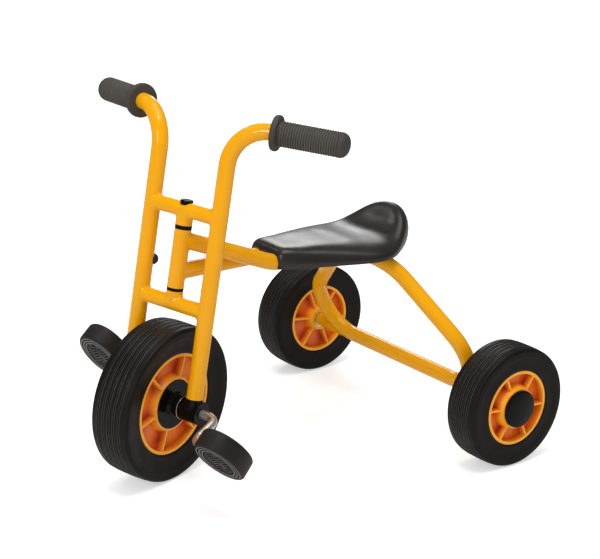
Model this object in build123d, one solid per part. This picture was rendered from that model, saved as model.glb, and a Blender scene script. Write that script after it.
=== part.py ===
"""A child's steel-tube tricycle with pedals on the front wheel.

Millimetres. +Z is up, -Y is forward, +X is the rider's left, z = 0 is the floor.
The fork stands turned to the rider's left. Pieces of the fork, the front wheel and the
pedals are drawn in the fork's own axes, with x across, y rearward and z up along the
steering axis from the floor, and are then placed by one location.
"""

from build123d import *
import math
import os

# Tube of the frame loop, the fork legs and the handlebar
TUBE_D = 22.0
TUBE_WALL = 2.0
JOINT_GAP = 0.05            # left between a coped tube end and the tube it is welded to
RUN_GAP = 0.05              # radial running clearance of a shaft in its bore
FIT_GAP = 0.1               # clearance of moulded pieces that are pushed together

# Rear wheels
TRACK = 436.0               # between the middle planes of the rear wheels
REAR_D = 168.8
REAR_TYRE_W = 53.0
REAR_RIM_D = 104.6
REAR_RIM_INSET = 2.3        # rim edge inside the side of the tyre
REAR_HUB_PROUD = 0.5        # hub faces outside the sides of the tyre
REAR_HUB_D = 34.0           # hub face on the inner side
CAP_D = 52.0
CAP_LEDGE = 2.2             # hub face left showing round the cap
CAP_RIM_H = 5.0
CAP_DOME_H = 3.5
CAP_BEVEL = 1.5

# Front wheel
FRONT_D = 212.2
FRONT_TYRE_W = 62.5
FRONT_RIM_D = 138.0
FRONT_RIM_INSET = 9.6
FRONT_HUB_INSET = 10.3
DISC_D = 67.0
DISC_FACE = 22.3            # outer face from the middle plane
DISC_BEVEL = 0.6
DISC_FLARE = 4.0            # swelling from the disc to the spacer
DISC_LEDGE = 2.8            # hub face left showing round the disc
SPACER_D = 27.0
WHEEL_SETBACK = 3.0         # wheel axle behind the plane of the fork legs

# All moulded wheels
RIB_COUNT = 6
RIB_T = 5.6                 # at the web, tapering towards the faces
RIB_TAPER = 4.0             # degrees a side
HUB_FLARE = 5.0             # the hub widens towards the web by this much in radius
RIM_T = 4.0
POCKET_DEPTH = 11.0         # from the rim's edge down to the web
WHEEL_TURN = {"left": 25.2, "right": 22.4, "front": -9.5}   # degrees, as they stand
TYRE_CROWN_R = 400.0        # radius of the tread across its width
TYRE_SHOULDER_R = 5.0
TYRE_LIP = 0.6              # the tyre stands proud of the rim's edge by this much

# Rear axle
AXLE_D = 12.0
BOSS_D = 20.0
WASHER_D = 25.0
WASHER_T = 1.6
BOSS_L = 76.0               # from inside the bend of the loop out to the washer
AXLE_BITE = 34.0            # length of the pin held in its boss

# Steering axis and head
STEER_BASE = 431.6          # from the rear axle forward to where the axis meets the floor
STEER_TILT = 8.62           # degrees, top leaning back
STEER_ANGLE = 17.55         # degrees that the fork stands turned to the left
HEAD_L = 77.3
BUSH_LOW_T = 4.3
BUSH_HIGH_T = 5.4
BUSH_DEPTH = 14.0
BOLT_D = 10.0

# Fork
LEG_SPACING = 110.0
CROSSBAR_D = 20.0
CROSSBAR_CLEAR = 16.5       # from the tyre up to the lower crossbar
STUB_LOW = 21.2             # from the lower crossbar's middle up to the head tube
STUB_HIGH = 25.0            # from the head tube up to the upper crossbar's middle
LEG_END = 18.5              # lower end of the leg above the wheel axle
BEARING_D = 31.0
BEARING_IN = 37.5           # inner and outer face of the bearing, from the middle plane
BEARING_OUT = 67.5
BEARING_GROOVES = 4
BEARING_GROOVE_W = 2.2
BEARING_GROOVE_DEPTH = 1.6
BEARING_PITCH = 5.5         # from groove to groove
PLUG_LEN = 18.0             # plug of the bearing up inside the leg
BAR_RISE = 120.5            # from the upper crossbar up to the handlebar
BAR_SWEEP = 18.7            # degrees that each side is swept back
BAR_BEND_R = 52.0
GRIP_START = 106.0          # inner face of the grip's flange, across
GRIP_END = 199.0
GRIP_D = 32.5
GRIP_FLANGE_D = 46.0
GRIP_FLANGE_T = 8.0
GRIP_END_T = 3.0
GRIP_END_R = 6.5
BUFFER_D = 15.0
BUFFER_H = 6.5
BUFFER_TURN = 52.0          # degrees from straight inward towards the rear
CAP_BOLT_D = 17.0
CAP_BOLT_H = 3.0
CAP_BOLT_R = 2.1

# Frame loop: side tube points as x, y, z from the middle of the rear axle, and bend radii
JOIN_LEFT_DROP = 14.0       # left branch below the top of the head tube
JOIN_RIGHT_RISE = 20.3      # right branch above its bottom
SEAT_FRONT_PT = (19.2, -250.0, 272.6)
SEAT_REAR_PT = (31.0, -84.0, 274.6)
CORNER_X = 236.0
SEAT_FRONT_R = 76.0
SEAT_REAR_R = 94.0
CORNER_R = 53.0

# Crank and pedals
CRANK_X = 92.5              # where the rod turns down, from the middle plane
CRANK_FLARE = 3.0           # the arm leans outward by this much
CRANK_RADIUS = 53.7
CRANK_ANGLE = 23.3          # degrees that the left arm points below straight forward
CRANK_BEND_R = 15.0
PEDAL_X = 144.7
PEDAL_W = 69.2
PEDAL_L = 84.6
PEDAL_T = 27.0
PEDAL_TURN_LEFT = 40.7      # degrees that the pedal faces are turned about the shaft
PEDAL_TURN_RIGHT = 47.6
PEDAL_EDGE_R = 4.0
PEDAL_SHAFT_END = 8.0       # shaft stops this far inside the outer side
PEDAL_SHAFT_GAP = 1.0
PEDAL_GROOVE_IN = 7.5       # oval groove in each face, from the outline
PEDAL_GROOVE_W = 2.5
PEDAL_GROOVE_DEPTH = 1.2

# Saddle
SEAT_BOTTOM = 266.6
SEAT_TOP = 293.1            # flat front part
SEAT_HUMP = 320.6           # raised rear edge
SEAT_FRONT_Y = -250.0
SEAT_REAR_Y = -13.5
SEAT_W = 163.6
SEAT_LEAN = 1.5             # the sides stand in by this much at the bottom
SEAT_TAIL_LEAN = 8.0        # and so does the tail
SEAT_BULGE = (0.15, 0.7)    # height at which sides and tail reach furthest out, as shares
SEAT_ACROSS = (0.98, 0.94, 0.86, 0.74, 0.56, 0.3)   # shares of the half width to draw through
SEAT_STATIONS = (           # front to rear: way, width, rise of sides and of middle, squareness
    (0.000, 0.392, -0.28, -0.28, 9.0),
    (0.011, 0.434, -0.12, -0.12, 8.5),
    (0.042, 0.495, 0.00, 0.00, 7.5),
    (0.148, 0.611, 0.00, 0.00, 5.5),
    (0.254, 0.715, -0.01, -0.01, 4.5),
    (0.359, 0.819, -0.03, -0.03, 3.8),
    (0.465, 0.921, -0.07, -0.07, 3.3),
    (0.541, 0.982, -0.11, -0.13, 3.0),
    (0.609, 1.000, -0.12, -0.20, 2.9),
    (0.672, 0.969, -0.07, -0.23, 2.9),
    (0.731, 0.900, 0.08, -0.17, 3.0),
    (0.782, 0.815, 0.36, 0.06, 3.0),
    (0.829, 0.727, 0.74, 0.46, 2.9),
    (0.871, 0.640, 0.97, 0.88, 2.6),
    (0.909, 0.548, 0.92, 0.98, 2.3),
    (0.943, 0.440, 0.70, 0.78, 2.1),
    (0.972, 0.309, 0.42, 0.48, 2.0),
    (0.991, 0.150, 0.18, 0.20, 2.0),
)
SEAT_WALL = 4.0
SEAT_RIB_Y = (-235.0, -190.0, -145.0, -100.0)
SEAT_RIB_T = 4.0
SEAT_RIB_Z = 273.0          # lower edge of the cross ribs under the saddle
SEAT_GAP = 0.3              # between the saddle's ribs and the tubes they rest on

REAR_R = REAR_D / 2
FRONT_R = FRONT_D / 2
TUBE_R = TUBE_D / 2
X_AXIS = Vector(1, 0, 0)

# The fork's axes in the tricycle's
steer_up = Vector(0, math.sin(math.radians(STEER_TILT)), math.cos(math.radians(STEER_TILT)))
steer_across = X_AXIS.rotate(Axis((0, 0, 0), tuple(steer_up)), STEER_ANGLE)
steer_plane = Plane(origin=(0, -STEER_BASE, 0), x_dir=steer_across, z_dir=steer_up)
steer = steer_plane.location

# Height of the front axle, with the tyre's crown just touching the floor as it leans
lean = math.asin(abs(steer_across.Z))
axle_height = (FRONT_R - TYRE_CROWN_R) * math.cos(lean) + TYRE_CROWN_R
axle_z = (axle_height - WHEEL_SETBACK * steer_plane.y_dir.Z) / steer_up.Z
axle_point = Vector(0, WHEEL_SETBACK, axle_z)

# Heights on the fork, along the steering axis from the floor
tyre_top = axle_z + math.sqrt(FRONT_R**2 - WHEEL_SETBACK**2)
crossbar_low = tyre_top + CROSSBAR_CLEAR + CROSSBAR_D / 2
head_low = crossbar_low + STUB_LOW
head_high = head_low + HEAD_L
crossbar_high = head_high + STUB_HIGH
bar_height = crossbar_high + BAR_RISE

nodes = {}


def across(radius, x0, x1, y=0.0, z=0.0):
    """A cylinder along X from x0 to x1."""
    start = Plane(origin=(x0, y, z), x_dir=(0, 1, 0), z_dir=(1, 0, 0))
    return extrude(start * Circle(radius), x1 - x0)


def upright(radius, z0, z1, x=0.0, y=0.0):
    """A cylinder along Z from z0 to z1."""
    return extrude(Plane.XY.offset(z0) * Pos(x, y) * Circle(radius), z1 - z0)


def turned(points):
    """A closed outline of (x, radius) points turned about X."""
    outline = make_face(Polyline(*[(x, 0, r) for x, r in points], close=True))
    return revolve(outline, Axis.X)


def bent_path(points, radii):
    """Straight runs through the points, joined by tangent arcs at the inner points."""
    points = [Vector(*p) for p in points]
    edges = []
    start = points[0]
    for before, corner, after, radius in zip(points, points[1:], points[2:], radii):
        back = (before - corner).normalized()
        ahead = (after - corner).normalized()
        half = math.radians(back.get_angle(ahead)) / 2
        cut = radius / math.tan(half)
        middle = (back + ahead).normalized() * (radius / math.sin(half) - radius)
        edges.append(Line(start, corner + back * cut))
        edges.append(ThreePointArc(corner + back * cut, corner + middle, corner + ahead * cut))
        start = corner + ahead * cut
    edges.append(Line(start, points[-1]))
    return Wire(edges)


def rod(path, radius):
    """A round section swept along a path."""
    start = Plane(origin=path @ 0, z_dir=path % 0)
    return sweep(start * Circle(radius), path=path)


def tube(path, radius, wall):
    """A round tube, open at both ends."""
    return rod(path, radius) - rod(path, radius - wall)


def tyre(outer_d, rim_d, width, rim_half):
    """A solid rubber tyre about X: crowned tread, round shoulders, sides sloping to the rim."""
    half = width / 2
    drop = outer_d / 2 - TYRE_CROWN_R + math.sqrt(TYRE_CROWN_R**2 - half**2)
    tread = ThreePointArc((-half, 0, drop), (0, 0, outer_d / 2), (half, 0, drop))
    inner = rim_d / 2 + JOINT_GAP
    lip = rim_half + TYRE_LIP
    sides = Polyline((half, 0, drop), (lip, 0, inner), (-lip, 0, inner), (-half, 0, drop))
    outline = make_face([tread, sides])
    shoulders = outline.vertices().sort_by(Axis.Z)[-2:]
    return revolve(fillet(shoulders, TYRE_SHOULDER_R), Axis.X)


def moulded_wheel(rim_d, rim_half, hub_half, hub_radii, bore_r, turn):
    """A wheel moulding about X: rim ring, web, flared hub and tapered ribs on both sides."""
    rim = across(rim_d / 2, -rim_half, rim_half) - across(rim_d / 2 - RIM_T, -rim_half, rim_half)
    web = rim_half - POCKET_DEPTH
    hub_in_r, hub_out_r = hub_radii
    hub = turned([
        (-hub_half, 0), (-hub_half, hub_in_r), (-web, hub_in_r + HUB_FLARE),
        (web, hub_out_r + HUB_FLARE), (hub_half, hub_out_r), (hub_half, 0),
    ])
    length = rim_d / 2 - RIM_T / 2
    body = rim + across(length, -web, web) + hub
    rib = Plane.YZ * Pos(0, length / 2) * Rectangle(RIB_T, length)
    rib = extrude(rib, min(rim_half, hub_half), taper=RIB_TAPER)
    rib += mirror(rib, Plane.YZ)
    for i in range(RIB_COUNT):
        body += Rot(X=turn + i * 360 / RIB_COUNT) * rib
    return body - across(bore_r, -hub_half, hub_half)


def on_both_sides(name, build):
    """Adds a left and a right piece; build(side) takes +1 for left and -1 for right."""
    nodes[name + "_left"] = build(1)
    nodes[name + "_right"] = build(-1)


# ---- Frame ------------------------------------------------------------------------------

steer_foot = Vector(0, -STEER_BASE, 0)
join_left = steer_foot + steer_up * (head_high - JOIN_LEFT_DROP)
join_right = steer_foot + steer_up * (head_low + JOIN_RIGHT_RISE)


def to_right(point):
    """The point on the right that mirrors one on the left."""
    x, y, z = point
    return (-x, y, z)


loop_points = [
    tuple(join_left),
    SEAT_FRONT_PT,
    SEAT_REAR_PT,
    (CORNER_X, 0, REAR_R),
    (-CORNER_X, 0, REAR_R),
    to_right(SEAT_REAR_PT),
    to_right(SEAT_FRONT_PT),
    tuple(join_right),
]
bend_radii = [SEAT_FRONT_R, SEAT_REAR_R, CORNER_R]
loop_path = bent_path(loop_points, bend_radii + bend_radii[::-1])
loop_solid = rod(loop_path, TUBE_R)
loop_cut = rod(loop_path, TUBE_R + JOINT_GAP)
head_cut = steer * upright(TUBE_R + JOINT_GAP, head_low, head_high)
bore_r = TUBE_R - TUBE_WALL
nodes["frame_loop"] = loop_solid - rod(loop_path, bore_r) - head_cut

head_tube = upright(TUBE_R, head_low, head_high) - upright(bore_r, head_low, head_high)
nodes["head_tube"] = steer * head_tube


def head_bushing(face, outward, flange_t):
    """A flanged bushing pushed into one end of the head tube."""
    flange = upright(TUBE_R, *sorted((face, face + outward * flange_t)))
    sleeve = upright(bore_r - RUN_GAP, *sorted((face, face - outward * BUSH_DEPTH)))
    hole = upright(BOLT_D / 2 + RUN_GAP, face - 2 * BUSH_DEPTH, face + 2 * BUSH_DEPTH)
    return steer * (flange + sleeve - hole)


nodes["head_bushing_upper"] = head_bushing(head_high, 1, BUSH_HIGH_T)
nodes["head_bushing_lower"] = head_bushing(head_low, -1, BUSH_LOW_T)

wheel_x = TRACK / 2
hub_half = REAR_TYRE_W / 2 + REAR_HUB_PROUD
hub_in = wheel_x - hub_half
hub_out = wheel_x + hub_half
washer_in = hub_in - FIT_GAP - WASHER_T


def on_side(shape, sign):
    """The piece as drawn on the left, or mirrored to the right."""
    return shape if sign > 0 else mirror(shape, Plane.YZ)


def axle_boss(sign):
    """The stub welded to the loop's corner, that the axle pin is pressed in."""
    boss = across(BOSS_D / 2, washer_in - BOSS_L, washer_in, z=REAR_R)
    boss -= across(AXLE_D / 2 + RUN_GAP, washer_in - AXLE_BITE, washer_in, z=REAR_R)
    return on_side(boss, sign) - loop_cut


def axle_pin(sign):
    return on_side(across(AXLE_D / 2, washer_in - AXLE_BITE, hub_out, z=REAR_R), sign)


def axle_washer(sign):
    ring = across(WASHER_D / 2, washer_in, washer_in + WASHER_T, z=REAR_R)
    ring -= across(AXLE_D / 2 + RUN_GAP, washer_in, washer_in + WASHER_T, z=REAR_R)
    return on_side(ring, sign)


on_both_sides("axle_boss", axle_boss)
on_both_sides("axle_pin", axle_pin)
on_both_sides("axle_washer", axle_washer)


# ---- Rear wheels ------------------------------------------------------------------------

def hub_cap():
    """A domed cap with a bevelled edge, over the outer end of the hub."""
    shoulder = hub_half + CAP_RIM_H - CAP_BEVEL
    top = hub_half + CAP_RIM_H + CAP_DOME_H
    r = CAP_D / 2
    dome_r = (r**2 + CAP_DOME_H**2) / (2 * CAP_DOME_H)
    cap = turned([
        (hub_half, 0), (hub_half, r), (shoulder, r), (top, r - (top - shoulder)), (top, 0),
    ])
    return cap & Pos(top - dome_r, 0, 0) * Sphere(dome_r)


def rear_set(word, sign):
    place = Pos(wheel_x, 0, REAR_R)
    rim_half = REAR_TYRE_W / 2 - REAR_RIM_INSET
    rear_tyre = tyre(REAR_D, REAR_RIM_D, REAR_TYRE_W, rim_half)
    wheel = moulded_wheel(
        REAR_RIM_D, rim_half, hub_half,
        (REAR_HUB_D / 2, CAP_D / 2 + CAP_LEDGE), AXLE_D / 2 + RUN_GAP, WHEEL_TURN[word],
    )
    return [on_side(place * shape, sign) for shape in (rear_tyre, wheel, hub_cap())]


for sign, word in ((1, "left"), (-1, "right")):
    names = ("rear_tyre_", "rear_wheel_", "hub_cap_")
    for name, shape in zip(names, rear_set(word, sign)):
        nodes[name + word] = shape


# ---- Saddle -----------------------------------------------------------------------------

def seat_section(y, half, side_top, middle_top, square, tail, inset):
    """One cross section of the saddle; nearer the tail it is tilted back."""
    set_in = min(half / 2, SEAT_LEAN + (SEAT_TAIL_LEAN - SEAT_LEAN) * tail)
    tilt = SEAT_TAIL_LEAN * tail / (SEAT_TOP - SEAT_BOTTOM)
    low = SEAT_BOTTOM - (inset > 0) * SEAT_WALL
    up = SEAT_BULGE[0] + (SEAT_BULGE[1] - SEAT_BULGE[0]) * tail
    bulge = low + (min(SEAT_TOP, middle_top) - inset - low) * up
    side = [(half - set_in, low), (half, bulge)]
    for share in SEAT_ACROSS:
        top = middle_top + (side_top - middle_top) * share**2 - inset
        side.append((half * share, bulge + (top - bulge) * math.sqrt(1 - share**square)))
    row = side + [(0, middle_top - inset)] + [(-x, z) for x, z in side[::-1]]
    points = [(x, y + (z - SEAT_TOP) * tilt, z) for x, z in row]
    return make_face(Spline(points) + Line(points[-1], points[0]))


def saddle_form(inset):
    """The saddle's outer form, or its inner one when inset by the wall."""
    rise = SEAT_HUMP - SEAT_TOP
    sections = []
    for way, width, side, middle, square in SEAT_STATIONS:
        y = SEAT_FRONT_Y + inset + (SEAT_REAR_Y - SEAT_FRONT_Y - 2 * inset) * way
        half = SEAT_W / 2 * width
        half -= min(inset, half / 2)
        side = SEAT_TOP + rise * side
        middle = SEAT_TOP + rise * middle
        sections.append(seat_section(y, half, side, middle, square, way**4, inset))
    return loft(sections)


def saddle():
    hollow = saddle_form(SEAT_WALL)
    rib = Box(SEAT_W, SEAT_RIB_T, SEAT_HUMP, align=(Align.CENTER, Align.CENTER, Align.MIN))
    for y in SEAT_RIB_Y:
        hollow -= Pos(0, y, SEAT_RIB_Z) * rib
    return saddle_form(0) - (hollow + rod(loop_path, TUBE_R + SEAT_GAP))


nodes["saddle"] = saddle()


# ---- Fork -------------------------------------------------------------------------------

sweep_dir = Vector(math.cos(math.radians(BAR_SWEEP)), math.sin(math.radians(BAR_SWEEP)), 0)
leg_x = LEG_SPACING / 2
bar_corner = Vector(leg_x, 0, bar_height)


def bar_point(x):
    """The point of the left handlebar's centre line at this distance across."""
    return bar_corner + sweep_dir * ((x - leg_x) / sweep_dir.X)


leg_end = axle_z + LEG_END
bar_end = bar_point(GRIP_END - GRIP_END_T)
leg_path = bent_path([(leg_x, 0, leg_end), tuple(bar_corner), tuple(bar_end)], [BAR_BEND_R])


def fork_tube(sign):
    return steer * on_side(tube(leg_path, TUBE_R, TUBE_WALL), sign)


def fork_bearing(sign):
    """The moulded, grooved axle bearing under a leg, with a plug up inside the tube."""
    outline = [(BEARING_IN, 0), (BEARING_IN, BEARING_D / 2)]
    for i in range(BEARING_GROOVES):
        x = BEARING_IN + (i + 1) * BEARING_PITCH
        floor = BEARING_D / 2 - BEARING_GROOVE_DEPTH
        outline += [(x - BEARING_GROOVE_W, BEARING_D / 2), (x - BEARING_GROOVE_W, floor)]
        outline += [(x, floor), (x, BEARING_D / 2)]
    outline += [(BEARING_OUT, BEARING_D / 2), (BEARING_OUT, 0)]
    body = Pos(0, WHEEL_SETBACK, axle_z) * turned(outline)
    body += upright(TUBE_R, axle_z, leg_end, leg_x)
    body += upright(bore_r - FIT_GAP, axle_z, leg_end + PLUG_LEN, leg_x)
    body -= across(AXLE_D / 2 + RUN_GAP, 0, BEARING_OUT, WHEEL_SETBACK, axle_z)
    return steer * on_side(body, sign)


def grip(sign):
    """A ribbed rubber grip with an inner flange, pushed over the end of the bar."""
    start = bar_point(GRIP_START)
    length = (bar_point(GRIP_END) - start).length
    along = Plane(origin=start, x_dir=(0, 0, 1), z_dir=sweep_dir)
    handle = extrude(Circle(GRIP_D / 2), length)
    handle += extrude(Circle(GRIP_FLANGE_D / 2), GRIP_FLANGE_T)
    handle = fillet(handle.edges().sort_by(Axis.Z)[-1], GRIP_END_R)
    handle -= extrude(Circle(TUBE_R + JOINT_GAP), length - GRIP_END_T / sweep_dir.X)
    return steer * on_side(along.location * handle, sign)


on_both_sides("fork_tube", fork_tube)
on_both_sides("fork_bearing", fork_bearing)
on_both_sides("grip", grip)


def crossbar(z):
    """A tube between the legs, its ends coped to them, drilled for the steering bolt."""
    bar = across(CROSSBAR_D / 2, -leg_x, leg_x, z=z)
    bar -= across(CROSSBAR_D / 2 - TUBE_WALL, -leg_x, leg_x, z=z)
    for x in (-leg_x, leg_x):
        bar -= upright(TUBE_R + JOINT_GAP, z - CROSSBAR_D, z + CROSSBAR_D, x)
    return bar


bolt_low = crossbar_low - CROSSBAR_D / 2 + TUBE_WALL
bolt_hole = upright(BOLT_D / 2 + JOINT_GAP, bolt_low, bar_height)
for word, z in (("lower", crossbar_low), ("upper", crossbar_high)):
    nodes["crossbar_" + word] = steer * (crossbar(z) - bolt_hole)


def steering_collar(z, face):
    """The short stub between a crossbar and its head bushing."""
    collar = upright(TUBE_R, *sorted((z, face)))
    collar -= across(CROSSBAR_D / 2 + JOINT_GAP, -leg_x, leg_x, z=z)
    return steer * (collar - bolt_hole)


bush_top = head_high + BUSH_HIGH_T + FIT_GAP
bush_bottom = head_low - BUSH_LOW_T - FIT_GAP
nodes["steering_collar_upper"] = steering_collar(crossbar_high, bush_top)
nodes["steering_collar_lower"] = steering_collar(crossbar_low, bush_bottom)

bar_top = crossbar_high + CROSSBAR_D / 2
nodes["steering_bolt"] = steer * upright(BOLT_D / 2, bolt_low, bar_top)

bolt_cap = upright(CAP_BOLT_D / 2, bar_top - CAP_BOLT_H, bar_top + CAP_BOLT_H)
bolt_cap = fillet(bolt_cap.edges().sort_by(Axis.Z)[-1], CAP_BOLT_R)
bolt_cap -= across(CROSSBAR_D / 2 + JOINT_GAP, -leg_x, leg_x, z=crossbar_high)
nodes["steering_bolt_cap"] = steer * (bolt_cap - upright(BOLT_D / 2 + JOINT_GAP, 0, bar_top))


def stop_buffer(sign):
    """A half-round rubber button that meets the frame tube at full lock."""
    reach = LEG_SPACING / 2 - TUBE_R
    join = join_left if sign > 0 else join_right
    branch = Vector(*SEAT_FRONT_PT) - join
    rise = branch.dot(steer_up) / branch.cross(steer_up).length
    height = (join - steer_foot).dot(steer_up) + rise * reach
    turn = math.radians(BUFFER_TURN)
    facing = Vector(-math.cos(turn), math.sin(turn), 0)
    base = Vector(leg_x, 0, height) + facing * TUBE_R
    spot = Plane(origin=base, x_dir=(0, 0, 1), z_dir=facing)
    radius = (BUFFER_D**2 / 4 + BUFFER_H**2) / (2 * BUFFER_H)
    dome = Pos(0, 0, BUFFER_H - radius) * Sphere(radius)
    button = dome & extrude(Circle(BUFFER_D / 2), BUFFER_H, both=True)
    button = spot.location * button - upright(TUBE_R + JOINT_GAP, 0, bar_height, leg_x)
    return steer * on_side(button, sign)


on_both_sides("stop_buffer", stop_buffer)


# ---- Front wheel, crank and pedals ------------------------------------------------------

hub_place = Pos(*axle_point)
front_half = FRONT_TYRE_W / 2
front_rim_half = front_half - FRONT_RIM_INSET
hub_face = front_half - FRONT_HUB_INSET
disc_ring_r = DISC_D / 2 + DISC_LEDGE
front_tyre = tyre(FRONT_D, FRONT_RIM_D, FRONT_TYRE_W, front_rim_half)
nodes["front_tyre"] = steer * hub_place * front_tyre
nodes["front_wheel"] = steer * hub_place * moulded_wheel(
    FRONT_RIM_D, front_rim_half, hub_face,
    (disc_ring_r, disc_ring_r), AXLE_D / 2 + JOINT_GAP, WHEEL_TURN["front"],
)


def hub_disc(sign):
    """A disc over the end of the front hub, flared out to meet the spacer."""
    r = DISC_D / 2
    bore = AXLE_D / 2 + JOINT_GAP
    disc = turned([
        (hub_face, bore), (hub_face, r), (DISC_FACE - DISC_BEVEL, r), (DISC_FACE, r - DISC_BEVEL),
        (DISC_FACE, SPACER_D / 2 + DISC_FLARE), (DISC_FACE + DISC_FLARE, SPACER_D / 2),
        (DISC_FACE + DISC_FLARE, bore),
    ])
    return steer * hub_place * on_side(disc, sign)


def spacer(sign):
    """A plain sleeve on the axle between the hub disc and the fork's bearing."""
    start = DISC_FACE + DISC_FLARE + JOINT_GAP
    end = BEARING_IN - FIT_GAP
    sleeve = across(SPACER_D / 2, start, end) - across(AXLE_D / 2 + JOINT_GAP, start, end)
    return steer * hub_place * on_side(sleeve, sign)


on_both_sides("hub_disc", hub_disc)
on_both_sides("spacer", spacer)

arm_angle = math.radians(CRANK_ANGLE)
arm = Vector(0, -math.cos(arm_angle), -math.sin(arm_angle)) * CRANK_RADIUS
elbow = CRANK_X + CRANK_FLARE
pedal_out = PEDAL_X + PEDAL_W / 2
shaft_end = pedal_out - PEDAL_SHAFT_END


def both_arms(x_arm_pairs):
    left = [Vector(x, 0, 0) + arm * share for x, share in x_arm_pairs]
    right = [Vector(-p.X, -p.Y, -p.Z) for p in reversed(left)]
    return [tuple(p) for p in right + left]


crank_points = both_arms([(CRANK_X, 0), (elbow, 1), (shaft_end, 1)])
crank_path = bent_path(crank_points, [CRANK_BEND_R] * 4)
nodes["crank"] = steer * hub_place * rod(crank_path, AXLE_D / 2)


def pedal(sign):
    """An oval rubber pedal that spins on the end of the crank."""
    turn = PEDAL_TURN_LEFT if sign > 0 else PEDAL_TURN_RIGHT
    oval = extrude(Ellipse(PEDAL_W / 2, PEDAL_L / 2), PEDAL_T / 2, both=True)
    oval = fillet(oval.edges(), PEDAL_EDGE_R)
    a = PEDAL_W / 2 - PEDAL_GROOVE_IN
    b = PEDAL_L / 2 - PEDAL_GROOVE_IN
    ring = Ellipse(a, b) - Ellipse(a - PEDAL_GROOVE_W, b - PEDAL_GROOVE_W)
    face = PEDAL_T / 2 - PEDAL_GROOVE_DEPTH
    oval -= extrude(Plane.XY.offset(face) * ring, PEDAL_GROOVE_DEPTH)
    oval -= extrude(Plane.XY.offset(-face) * ring, -PEDAL_GROOVE_DEPTH)
    oval -= across(AXLE_D / 2 + RUN_GAP, -PEDAL_W, shaft_end - PEDAL_X + PEDAL_SHAFT_GAP)
    oval = on_side(oval, sign)
    centre = Vector(sign * PEDAL_X, 0, 0) + arm * sign
    return steer * hub_place * Pos(*centre) * Rot(X=-turn) * oval


on_both_sides("pedal", pedal)


# ---- Output -----------------------------------------------------------------------------

box = Compound([solid for shape in nodes.values() for solid in shape.solids()]).bounding_box()
to_origin = Pos(0, -box.center().Y, 0)
os.makedirs("parts", exist_ok=True)
for name, shape in nodes.items():
    placed = to_origin * shape
    placed.label = name
    export_step(placed, "parts/" + name + ".step")
print("length", round(box.size.Y, 1), "width", round(box.size.X, 1), "height", round(box.size.Z, 1))
print("rear axle at y =", round(-box.center().Y, 3), "lowest point", round(box.min.Z, 3))
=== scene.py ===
import bpy
import bmesh
import math
from mathutils import Matrix, Vector


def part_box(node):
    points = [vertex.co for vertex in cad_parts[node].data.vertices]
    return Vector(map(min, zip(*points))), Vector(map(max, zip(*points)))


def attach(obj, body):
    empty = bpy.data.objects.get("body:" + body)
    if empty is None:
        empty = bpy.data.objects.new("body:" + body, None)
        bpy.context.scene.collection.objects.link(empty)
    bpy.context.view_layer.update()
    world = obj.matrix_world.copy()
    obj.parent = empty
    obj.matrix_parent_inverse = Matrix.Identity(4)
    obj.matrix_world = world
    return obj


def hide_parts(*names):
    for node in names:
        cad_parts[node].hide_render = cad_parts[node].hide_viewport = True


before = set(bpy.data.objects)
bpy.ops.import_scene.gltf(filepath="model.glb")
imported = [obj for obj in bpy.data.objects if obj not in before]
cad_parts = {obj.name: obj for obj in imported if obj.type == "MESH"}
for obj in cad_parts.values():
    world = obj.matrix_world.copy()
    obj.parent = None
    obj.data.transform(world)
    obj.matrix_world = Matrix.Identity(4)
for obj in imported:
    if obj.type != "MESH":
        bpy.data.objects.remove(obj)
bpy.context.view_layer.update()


# ---- Studio -----------------------------------------------------------------------------
# A white paper floor and a white room around the tricycle, lit by soft lamps. None of it is
# part of the tricycle. Glossy surfaces mirror the floor and the room dimmed.

CAMERA_PLACE = Vector((1.70696, -1.28716, 0.92981))
CAMERA_TURN, CAMERA_DROP, CAMERA_LEAN = (math.radians(a) for a in (52.375, 17.906, 1.610))
LENS, SENSOR_W, CLIP_END = 99.41, 36, 50
FLOOR_HALF = 9
PAPER, PAPER_ROUGHNESS = (0.93, 0.93, 0.925, 1), 0.95
WHITE = (1, 1, 1, 1)
FLOOR_GLOW, GLOW_SHARE, FLOOR_DIMMING = 3.2, 0.15, 0.5
ROOM_LIGHT, ROOM_SEEN, ROOM_DIMMING = 0.7, 1.0, 0.56
LAMP_AIM = Vector((0, 0, 0.35))


def on_axes(place, x_axis, y_axis, z_axis):
    """The place and turn of something whose own axes point along these three."""
    return Matrix.Translation(place) @ Matrix((x_axis, y_axis, z_axis)).transposed().to_4x4()


def arithmetic(finish, operation, *values):
    """One step of arithmetic on values that may be numbers or outputs."""
    step = finish.node_tree.nodes.new("ShaderNodeMath")
    step.operation = operation
    for socket, value in zip(step.inputs, values):
        if isinstance(value, (int, float)):
            socket.default_value = value
        else:
            finish.node_tree.links.new(value, socket)
    return step.outputs[0]


def ranged(finish, value, low, high, start=0.3, end=0.7):
    """The value's span from start to end, spread over low to high."""
    spread = finish.node_tree.nodes.new("ShaderNodeMapRange")
    spread.inputs["From Min"].default_value = start
    spread.inputs["From Max"].default_value = end
    spread.inputs["To Min"].default_value = low
    spread.inputs["To Max"].default_value = high
    finish.node_tree.links.new(value, spread.inputs["Value"])
    return spread.outputs[0]


def glowing(finish, strength):
    """A white glow of this strength."""
    glow = finish.node_tree.nodes.new("ShaderNodeEmission")
    glow.inputs["Color"].default_value = WHITE
    glow.inputs["Strength"].default_value = strength
    return glow.outputs[0]


def mixed(finish, share, first, second):
    """The first shader, with this share of the second in its place."""
    mix = finish.node_tree.nodes.new("ShaderNodeMixShader")
    for socket, value in zip(mix.inputs, (share, first, second)):
        finish.node_tree.links.new(value, socket)
    return mix.outputs[0]


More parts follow.
